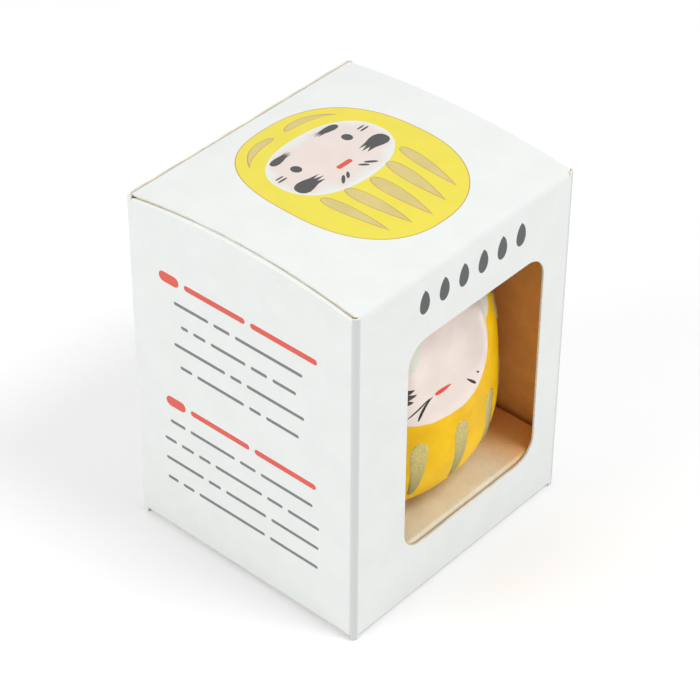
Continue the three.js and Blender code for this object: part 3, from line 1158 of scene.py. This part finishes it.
def paint_mesh(form, where, spine, half_width, height, rows=26, columns=9):
    """Closed lens of thick paint that follows the doll along a spine of (s, z) points.

    where turns (s, z) into an angle round the doll; half_width is a function of the share of
    the length; the lens is rooted a little way under the surface.
    """
    mesh = bmesh.new()
    layer = mesh.loops.layers.uv.new("flat")
    root = 0.07
    grids = ([], [])
    spots = {}
    length_mm = sum((Vector(b) - Vector(a)).length for a, b in zip(spine, spine[1:]))

    def spine_at(t):
        place = t * (len(spine) - 1)
        i = min(int(place), len(spine) - 2)
        a, b = Vector(spine[i]), Vector(spine[i + 1])
        return a.lerp(b, place - i)

    def across_at(t):
        way = spine_at(min(1.0, t + 0.02)) - spine_at(max(0.0, t - 0.02))
        return Vector((-way.y, way.x)).normalized()

    for i in range(rows + 1):
        t = 0.5 - 0.5 * math.cos(math.pi * i / rows)
        centre, across, half = spine_at(t), across_at(t), half_width(t)
        for side, grid in enumerate(grids):
            row = []
            for j in range(columns + 1):
                w = math.sin(math.pi * (j / columns - 0.5))
                s, z = centre + across * half * w
                angle = where(s, z)
                p = form.point(angle, z)
                lift = pulp(p) - root
                if side == 0:
                    lift += (height + root) * (1 - abs(w) ** 3.2) * min(1.0, half * 4)
                vertex = mesh.verts.new(form.place(p + form.normal(angle, z) * lift))
                spots[vertex] = (t * length_mm / UV_SPAN, w * half / UV_SPAN)
                row.append(vertex)
            grid.append(row)
    for side, grid in enumerate(grids):
        for i in range(rows):
            for j in range(columns):
                corners = [grid[i][j], grid[i + 1][j], grid[i + 1][j + 1], grid[i][j + 1]]
                face = mesh.faces.new(corners if side else corners[::-1])
                face.smooth = True
                for loop in face.loops:
                    loop[layer].uv = spots[loop.vert]
    bmesh.ops.remove_doubles(mesh, verts=mesh.verts, dist=0.0008 * MM)
    bmesh.ops.recalc_face_normals(mesh, faces=mesh.faces)
    return mesh


def brush(form, start, end, width, height, bend=0.0, taper=0.8, round_doll=False):
    """One brush stroke of thick paint, from a round start to a thin end."""
    a, b = Vector(start), Vector(end)
    across = Vector((-(b - a).y, (b - a).x)).normalized()
    count = 12
    spine = [a.lerp(b, i / count) + across * bend * bow(i / count) for i in range(count + 1)]
    where = (lambda s, z: s / 26.0) if round_doll else form.front_angle
    return paint_mesh(form, where, spine, lambda t: drop_share(t, taper) * width / 2, height)


def dab(form, centre, half_width, half_height, height):
    """Round dab of paint, such as an eye."""
    x, z = centre
    spine = [(x, z + half_height - 2 * half_height * i / 12) for i in range(13)]
    return paint_mesh(
        form, form.front_angle, spine, lambda t: half_width * math.sqrt(max(0.0, bow(t))), height, 30, 16
    )


def feathered(form, start, end, width, height):
    """Brush dab that splits into three thin points: three strokes from one round start."""
    a, b = Vector(start), Vector(end)
    across = Vector((-(b - a).y, (b - a).x)).normalized() * width
    strokes = []
    for k, reach, lift in ((-1, 0.94, 1.0), (0, 1.0, 1.15), (1, 0.9, 0.9)):
        tip = a.lerp(b, reach) + across * 0.34 * k
        root = a + across * 0.17 * k
        strokes.append(brush(form, root, tip, width * 0.66, height * lift, bend=-0.05 * k * width, taper=1.1))
    return strokes


def build_face_paint():
    form = doll_form()
    relief = 0.12
    eyes = [dab(form, (x, z), size, size * 0.97, relief) for x, z, size in form.EYES]
    finished("doll_eyes", eyes, ["eye"], "doll", sharp=60)
    mouth = brush(form, (-3.3, 27.7), (1.7, 27.9), 0.75, relief, taper=1.1)
    finished("doll_mouth", [mouth], ["red"], "doll", sharp=60)
    marks = []
    for middle, side in ((-0.5, -1), (1.5, 1)):
        marks += feathered(form, (middle + side * 13.6, 42.4), (middle + side * 5.6, 43.6), 3.0, relief)
    marks += feathered(form, (-17.0, 31.8), (-7.9, 30.6), 4.6, relief)
        # Whiskers: from beside the mouth, each with its thick end outwards
    whiskers = (
        ((-10.9, 26.3), (-2.6, 27.9), 0.42, 0.25),
        ((-8.8, 25.1), (-2.8, 27.7), 0.66, 0.7),
        ((6.4, 25.8), (4.2, 27.7), 0.66, 0.0),
        ((7.7, 27.4), (6.8, 27.9), 0.5, 0.0),
    )
    for start, end, width, bend in whiskers:
        marks.append(brush(form, start, end, width, relief, bend=bend, taper=1.2))
    finished("doll_brush_marks", marks, ["black"], "doll", sharp=60)


def build_hood_paint():
    """Gold crescents over the face and short gold dabs down the sides of the hood."""
    form = doll_form()
    relief = bpy.context.scene.daruma_doll.paint_relief / MM
    strokes = []
    for side in (-1, 1):
        strokes.append(
            brush(
                form,
                (side * 2.6, 51.3),
                (side * 19.0, 46.3),
                2.7,
                relief,
                bend=-2.2 * side,
                taper=0.62,
                round_doll=True,
            )
        )
        for s, z, reach in ((19.5, 43.5, 5.0), (20.0, 37.0, 5.6), (27.5, 33.0, 5.6), (28.5, 41.5, 5.0)):
            away = s if side > 0 else s + 4.5
            start, end = (side * away, z), (side * (away - 0.8), z - reach)
            strokes.append(brush(form, start, end, 3.0, relief, taper=0.5, round_doll=True))
    finished("doll_hood_gold", strokes, ["gold"], "doll", sharp=60)


# ---- Gold strokes round the body, by Geometry Nodes ------------------------------------


class Nodes:
    """Short calls for building a Geometry Nodes tree."""

    def __init__(self, name):
        self.tree = bpy.data.node_groups.new(name, "GeometryNodeTree")
        self.inputs = {}
        self.tree.interface.new_socket("Geometry", in_out="OUTPUT", socket_type="NodeSocketGeometry")
        self.group_in = self.tree.nodes.new("NodeGroupInput")
        self.group_out = self.tree.nodes.new("NodeGroupOutput")

    def take(self, name, kind, default=None):
        socket = self.tree.interface.new_socket(name, in_out="INPUT", socket_type=kind)
        if default is not None:
            socket.default_value = default
        self.inputs[name] = socket.identifier
        return self.group_in.outputs[name]

    def add(self, kind, settings=None, **sockets):
        node = self.tree.nodes.new(kind)
        for key, value in (settings or {}).items():
            setattr(node, key, value)
        for key, value in sockets.items():
            self.feed(node.inputs[key.replace("_", " ")], value)
        return node

    def feed(self, socket, value):
        if isinstance(value, bpy.types.NodeSocket):
            self.tree.links.new(value, socket)
        else:
            socket.default_value = value

    def math(self, operation, *values):
        node = self.tree.nodes.new("ShaderNodeMath")
        node.operation = operation
        for socket, value in zip(node.inputs, values):
            self.feed(socket, value)
        return node.outputs[0]

    def vector(self, x, y, z):
        node = self.tree.nodes.new("ShaderNodeCombineXYZ")
        for socket, value in zip(node.inputs, (x, y, z)):
            self.feed(socket, value)
        return node.outputs[0]

    def vector_math(self, operation, *values):
        node = self.tree.nodes.new("ShaderNodeVectorMath")
        node.operation = operation
        slots = [s for s in node.inputs if s.enabled]
        for socket, value in zip(slots, values):
            self.feed(socket, value)
        return node.outputs[0]


RAY_START = 0.06
RAY_LENGTH = 0.1
DOLL_RADIUS = 0.026


def gold_stroke_tree():
    """Strokes fanned round an upright axis, laid on a surface by rays from outside it."""
    n = Nodes("gold_strokes")
    surface = n.take("Surface", "NodeSocketObject")
    finish = n.take("Material", "NodeSocketMaterial")
    count = n.take("Count", "NodeSocketInt", 6)
    first = n.take("First angle", "NodeSocketFloat", 0.0)
    step = n.take("Angle step", "NodeSocketFloat", 0.3)
    axis = n.take("Axis", "NodeSocketVector", (0.0, 0.0, 0.0))
    top = n.take("Top", "NodeSocketFloat", 0.03)
    long = n.take("Length", "NodeSocketFloat", 0.014)
    wide = n.take("Width", "NodeSocketFloat", 0.004)
    taper = n.take("Taper", "NodeSocketFloat", 0.6)
    lean = n.take("Lean", "NodeSocketFloat", 0.001)
    relief = n.take("Relief", "NodeSocketFloat", 0.0003)
    seed = n.take("Seed", "NodeSocketInt", 4)

    def varied(low, high, offset):
        node = n.add("FunctionNodeRandomValue", {"data_type": "FLOAT"})
        n.feed(node.inputs[2], low)
        n.feed(node.inputs[3], high)
        n.feed(node.inputs["Seed"], n.math("ADD", seed, offset))
        return node.outputs[1]

    points = n.add("GeometryNodePoints", Count=count).outputs[0]
    index = n.add("GeometryNodeInputIndex").outputs[0]
    angle = n.math("ADD", first, n.math("MULTIPLY", index, step))
    stores = (
        ("stroke_angle", n.math("ADD", angle, varied(-0.005, 0.005, 0))),
        ("stroke_top", n.math("ADD", top, varied(-0.0003, 0.0003, 1))),
        ("stroke_long", n.math("MULTIPLY", long, varied(0.93, 1.07, 2))),
        ("stroke_wide", n.math("MULTIPLY", wide, varied(0.95, 1.05, 3))),
    )
    for name, value in stores:
        store = n.add("GeometryNodeStoreNamedAttribute", {"data_type": "FLOAT", "domain": "POINT"})
        n.feed(store.inputs["Geometry"], points)
        n.feed(store.inputs["Name"], name)
        n.feed(store.inputs["Value"], value)
        points = store.outputs[0]

    def named(name):
        node = n.add("GeometryNodeInputNamedAttribute", {"data_type": "FLOAT"})
        n.feed(node.inputs["Name"], name)
        return node.outputs[0]

    grids = []
    for upper in (1.0, 0.0):
        grid = n.add("GeometryNodeMeshGrid", Size_X=1.0, Size_Y=2.0, Vertices_X=44, Vertices_Y=15)
        mark = n.add("GeometryNodeStoreNamedAttribute", {"data_type": "FLOAT", "domain": "POINT"})
        n.feed(mark.inputs["Geometry"], grid.outputs[0])
        n.feed(mark.inputs["Name"], "upper")
        n.feed(mark.inputs["Value"], upper)
        sheet = mark.outputs[0]
        if upper == 0.0:
            sheet = n.add("GeometryNodeFlipFaces", Mesh=sheet).outputs[0]
        grids.append(sheet)
    both = n.add("GeometryNodeJoinGeometry")
    for sheet in grids:
        n.tree.links.new(sheet, both.inputs[0])
    placed = n.add("GeometryNodeInstanceOnPoints", Points=points, Instance=both.outputs[0]).outputs[0]
    mesh = n.add("GeometryNodeRealizeInstances", Geometry=placed).outputs[0]

    position = n.add("GeometryNodeInputPosition").outputs[0]
    parts = n.add("ShaderNodeSeparateXYZ", Vector=position)
    even = n.math("ADD", parts.outputs[0], 0.5)
    t = n.math("POWER", n.math("MAXIMUM", even, 0.0), 1.35)
    w = n.math("SINE", n.math("MULTIPLY", parts.outputs[1], math.pi / 2))
    head = n.math("SUBTRACT", 1.0, n.math("MINIMUM", n.math("DIVIDE", t, 0.2), 1.0))
    foot = n.math("MAXIMUM", n.math("DIVIDE", n.math("SUBTRACT", t, 0.86), 0.14), 0.0)
    rounds = []
    for reach in (head, foot):
        rest = n.math("SUBTRACT", 1.0, n.math("MULTIPLY", reach, reach))
        rounds.append(n.math("SQRT", n.math("MAXIMUM", rest, 0.0)))
    narrowing = n.math("SUBTRACT", 1.0, n.math("MULTIPLY", taper, n.math("POWER", t, 1.6)))
    share = n.math("MULTIPLY", n.math("MULTIPLY", rounds[0], rounds[1]), narrowing)
    half = n.math("MULTIPLY", n.math("MULTIPLY", named("stroke_wide"), 0.5), share)
    side = n.math("ADD", n.math("MULTIPLY", half, w), n.math("MULTIPLY", n.math("MULTIPLY", t, t), lean))
    turned = n.math("ADD", named("stroke_angle"), n.math("DIVIDE", side, DOLL_RADIUS))
    level = n.math("SUBTRACT", named("stroke_top"), n.math("MULTIPLY", t, named("stroke_long")))
    outward = n.vector(n.math("SINE", turned), n.math("MULTIPLY", n.math("COSINE", turned), -1.0), 0.0)
    middle = n.vector_math("ADD", axis, n.vector(0.0, 0.0, level))
    away = n.vector_math("SCALE", outward)
    away.node.inputs["Scale"].default_value = RAY_START
    start = n.vector_math("ADD", middle, away)
    inward = n.vector_math("MULTIPLY", outward, (-1.0, -1.0, -1.0))
    info = n.add("GeometryNodeObjectInfo", {"transform_space": "RELATIVE"}, Object=surface)
    ray = n.add("GeometryNodeRaycast", {"data_type": "FLOAT"})
    n.feed(ray.inputs["Target Geometry"], info.outputs["Geometry"])
    n.feed(ray.inputs["Source Position"], start)
    n.feed(ray.inputs["Ray Direction"], inward)
    n.feed(ray.inputs["Ray Length"], RAY_LENGTH)
    dome = n.math("SUBTRACT", 1.0, n.math("POWER", n.math("ABSOLUTE", w), 3.4))
    ends = n.math("MINIMUM", n.math("MULTIPLY", share, 1.8), 1.0)
    height = n.math("MULTIPLY", n.math("MULTIPLY", dome, ends), n.math("MULTIPLY", relief, named("upper")))
    lift = n.vector_math("SCALE", ray.outputs["Hit Normal"])
    n.feed(lift.node.inputs["Scale"], n.math("SUBTRACT", height, 0.07 * MM))
    final = n.vector_math("ADD", ray.outputs["Hit Position"], lift)

    flat = n.add("GeometryNodeStoreNamedAttribute", {"data_type": "FLOAT2", "domain": "CORNER"})
    n.feed(flat.inputs["Geometry"], mesh)
    n.feed(flat.inputs["Name"], "flat")
    u = n.math("MULTIPLY", t, n.math("MULTIPLY", named("stroke_long"), 1 / (MM * UV_SPAN)))
    v = n.math("DIVIDE", n.math("MULTIPLY", half, w), MM * UV_SPAN)
    n.feed(flat.inputs["Value"], n.vector(u, v, 0.0))
    moved = n.add("GeometryNodeSetPosition", Geometry=flat.outputs[0], Position=final).outputs[0]
    merged = n.add("GeometryNodeMergeByDistance", Geometry=moved, Distance=0.0008 * MM).outputs[0]
    smooth_faces = n.add("GeometryNodeSetShadeSmooth", Geometry=merged).outputs[0]
    real = n.add("GeometryNodeRealizeInstances", Geometry=smooth_faces).outputs[0]
    painted = n.add("GeometryNodeSetMaterial", Geometry=real, Material=finish).outputs[0]
    n.tree.links.new(painted, n.group_out.inputs[0])
    return n


def build_body_strokes():
    """Upright gold strokes round the front of the body."""
    form = doll_form()
    doll = bpy.context.scene.daruma_doll
    tree = gold_stroke_tree()
    holder = bpy.data.objects.new("doll_body_gold", bpy.data.meshes.new("doll_body_gold"))
    bpy.context.collection.objects.link(holder)
    modifier = holder.modifiers.new("gold strokes", "NODES")
    modifier.node_group = tree.tree
    spacing = math.radians(24.2)
    values = {
        "Surface": bpy.data.objects["doll_painted_shell"],
        "Material": finish_of("gold"),
        "Count": doll.gold_strokes,
        "First angle": math.radians(-68.6) + DOLL_TURN,
        "Angle step": spacing,
        "Axis": (form.middle.x * MM, form.middle.y * MM, form.base * MM),
        "Top": 20.0 * MM,
        "Length": 14.0 * MM,
        "Width": 4.7 * MM,
        "Taper": 0.62,
        "Lean": -1.3 * MM,
        "Relief": doll.paint_relief,
        "Seed": 4,
    }
    for name, value in values.items():
        modifier[tree.inputs[name]] = value
    holder.update_tag()
    bpy.context.view_layer.update()
    evaluated = holder.evaluated_get(bpy.context.evaluated_depsgraph_get())
    made = bpy.data.meshes.new_from_object(evaluated)
    holder.modifiers.clear()
    holder.data = made
    made.name = "doll_body_gold"
    loose = bmesh.new()
    loose.from_mesh(made)
    bmesh.ops.recalc_face_normals(loose, faces=loose.faces)
    loose.to_mesh(made)
    loose.free()
    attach(holder, "doll")


# ---- Stage -----------------------------------------------------------------------------


FLOOR_GAP = 0.02 * MM
WORLD_LIGHT = 0.68
LAMPS = (
    # name, location, target, size, power
    ("key", (0.13, -0.40, 0.76), (0, 0, 0.03), 0.24, 2.0),
    ("left_fill", (-0.66, 0.24, 0.48), (0, 0, 0.04), 0.45, 1.8),
    ("top", (0.1, 0.15, 1.0), (0, 0, 0), 0.7, 0.8),
    ("right_fill", (0.36, -0.34, 0.14), (0.02, 0, 0.03), 0.2, 0.16),
)


def area_light(name, location, target, size, power):
    """A square white lamp at location that shines towards target."""
    data = bpy.data.lights.new(name, "AREA")
    data.shape = "SQUARE"
    data.size = size
    data.energy = power
    lamp = bpy.data.objects.new(name, data)
    lamp.location = location
    way = Vector(target) - Vector(location)
    lamp.rotation_euler = way.to_track_quat("-Z", "Y").to_euler()
    bpy.context.collection.objects.link(lamp)


def build_stage():
    stage = bpy.context.scene.daruma_stage
    scene = bpy.context.scene
    scene.view_settings.view_transform = "Standard"
    mesh = bmesh.new()
    bmesh.ops.create_circle(mesh, cap_ends=True, segments=96, radius=2.5)
    data = bpy.data.meshes.new("floor")
    mesh.to_mesh(data)
    mesh.free()
    g = Graph("studio_floor")
    where = g.coordinates(None)
    tone = g.mix(g.noise(where, 60, 3), tint(stage.floor, 0.995), tint(stage.floor, 1.005))
    data.materials.append(g.finish(tone, 0.9))
    floor = bpy.data.objects.new("floor", data)
    floor.location.z = -FLOOR_GAP
    bpy.context.collection.objects.link(floor)

    world = bpy.data.worlds.new("studio")
    world.use_nodes = True
    background = world.node_tree.nodes["Background"]
    background.inputs["Color"].default_value = (1, 1, 1, 1)
    background.inputs["Strength"].default_value = WORLD_LIGHT
    scene.world = world
    for lamp in LAMPS:
        area_light(*lamp)

    target = Vector((0, 0, TOP / 2 * MM))
    az, el = stage.azimuth, stage.elevation
    back = Vector((math.sin(az) * math.cos(el), -math.cos(az) * math.cos(el), math.sin(el)))
    right = Vector((math.cos(az), math.sin(az), 0))
    up = back.cross(right)
    c, s = math.cos(stage.roll), math.sin(stage.roll)
    right, up = right * c + up * s, up * c - right * s
    view = Matrix((right, up, back)).transposed().to_4x4()
    aim = right * -0.218 * MM + up * -0.747 * MM
    view.translation = target + back * stage.distance + aim
    camera_data = bpy.data.cameras.new("camera")
    camera_data.lens = stage.lens
    camera_data.sensor_width = 36
    camera_data.clip_start = 0.01
    camera = bpy.data.objects.new("camera", camera_data)
    camera.matrix_world = view
    bpy.context.collection.objects.link(camera)
    scene.camera = camera


# ---- Operators and panel ---------------------------------------------------------------


class DARUMA_OT_stage(bpy.types.Operator):
    """Make the floor, the lights and the camera"""

    bl_idname = "daruma.stage"
    bl_label = "Stage"

    def execute(self, context):
        build_stage()
        return {"FINISHED"}


class DARUMA_OT_walls(bpy.types.Operator):
    """Fold the printed walls of the carton, with the window and the glue flap"""

    bl_idname = "daruma.walls"
    bl_label = "Carton walls"

    def execute(self, context):
        build_walls()
        return {"FINISHED"}


class DARUMA_OT_covers(bpy.types.Operator):
    """Make the printed lid and the bottom with their tuck flaps"""

    bl_idname = "daruma.covers"
    bl_label = "Lid and bottom"

    def execute(self, context):
        lid = build_cover("carton_lid", "lid", "lid_panel", True, daruma_print(3))
        rim_shares(lid, 6)
        build_cover("carton_bottom", "bottom", "bottom_panel", False, [])
        build_tuck("carton_lid_tuck", "lid_tuck", "lid", "lid_tuck_flap", True)
        build_tuck("carton_bottom_tuck", "bottom_tuck", "bottom", "bottom_tuck_flap", False)
        return {"FINISHED"}


class DARUMA_OT_dust_flaps(bpy.types.Operator):
    """Make the four dust flaps"""

    bl_idname = "daruma.dust_flaps"
    bl_label = "Dust flaps"

    def execute(self, context):
        for end in ("top", "bottom"):
            for name, side in (("left", -1), ("right", 1)):
                body = f"{end}_dust_{name}"
                build_dust_flap(f"carton_{body}", body, f"{end}_dust_flap_{name}", side, end == "top")
        return {"FINISHED"}


class DARUMA_OT_platform(bpy.types.Operator):
    """Fold the card platform that the doll stands on"""

    bl_idname = "daruma.platform"
    bl_label = "Platform"

    def execute(self, context):
        build_platform()
        return {"FINISHED"}


class DARUMA_OT_doll(bpy.types.Operator):
    """Make the doll's shell and finish the weight and paper disc in its foot"""

    bl_idname = "daruma.doll"
    bl_label = "Doll"

    def execute(self, context):
        build_shell()
        for node, key in (("doll_weight", "clay"), ("doll_base_disc", "paper")):
            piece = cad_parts[node]
            piece.data.materials.clear()
            piece.data.materials.append(finish_of(key))
        return {"FINISHED"}


class DARUMA_OT_paint(bpy.types.Operator):
    """Paint the eyes, mouth, brush marks and gold strokes on the doll"""

    bl_idname = "daruma.paint"
    bl_label = "Doll paint"

    def execute(self, context):
        build_face_paint()
        build_hood_paint()
        build_body_strokes()
        return {"FINISHED"}


class DARUMA_PT_panel(bpy.types.Panel):
    bl_label = "Boxed daruma doll"
    bl_idname = "DARUMA_PT_panel"
    bl_space_type = "VIEW_3D"
    bl_region_type = "UI"
    bl_category = "Daruma"

    def draw(self, context):
        for name, group in SETTINGS.items():
            box = self.layout.box()
            for setting in group.__annotations__:
                box.prop(getattr(context.scene, name), setting)
        for operator in OPERATORS:
            self.layout.operator(operator.bl_idname)


OPERATORS = (
    DARUMA_OT_stage,
    DARUMA_OT_walls,
    DARUMA_OT_covers,
    DARUMA_OT_dust_flaps,
    DARUMA_OT_platform,
    DARUMA_OT_doll,
    DARUMA_OT_paint,
)


def register():
    for group in SETTINGS.values():
        bpy.utils.register_class(group)
    for name, group in SETTINGS.items():
        setattr(bpy.types.Scene, name, PointerProperty(type=group))
    for operator in OPERATORS:
        bpy.utils.register_class(operator)
    bpy.utils.register_class(DARUMA_PT_panel)


def unregister():
    bpy.utils.unregister_class(DARUMA_PT_panel)
    for operator in reversed(OPERATORS):
        bpy.utils.unregister_class(operator)
    for name in SETTINGS:
        delattr(bpy.types.Scene, name)
    for group in reversed(SETTINGS.values()):
        bpy.utils.unregister_class(group)


def main():
    register()
    bpy.ops.daruma.stage()
    bpy.ops.daruma.walls()
    bpy.ops.daruma.covers()
    bpy.ops.daruma.dust_flaps()
    bpy.ops.daruma.platform()
    bpy.ops.daruma.doll()
    bpy.ops.daruma.paint()


if __name__ == "__main__":
    main()
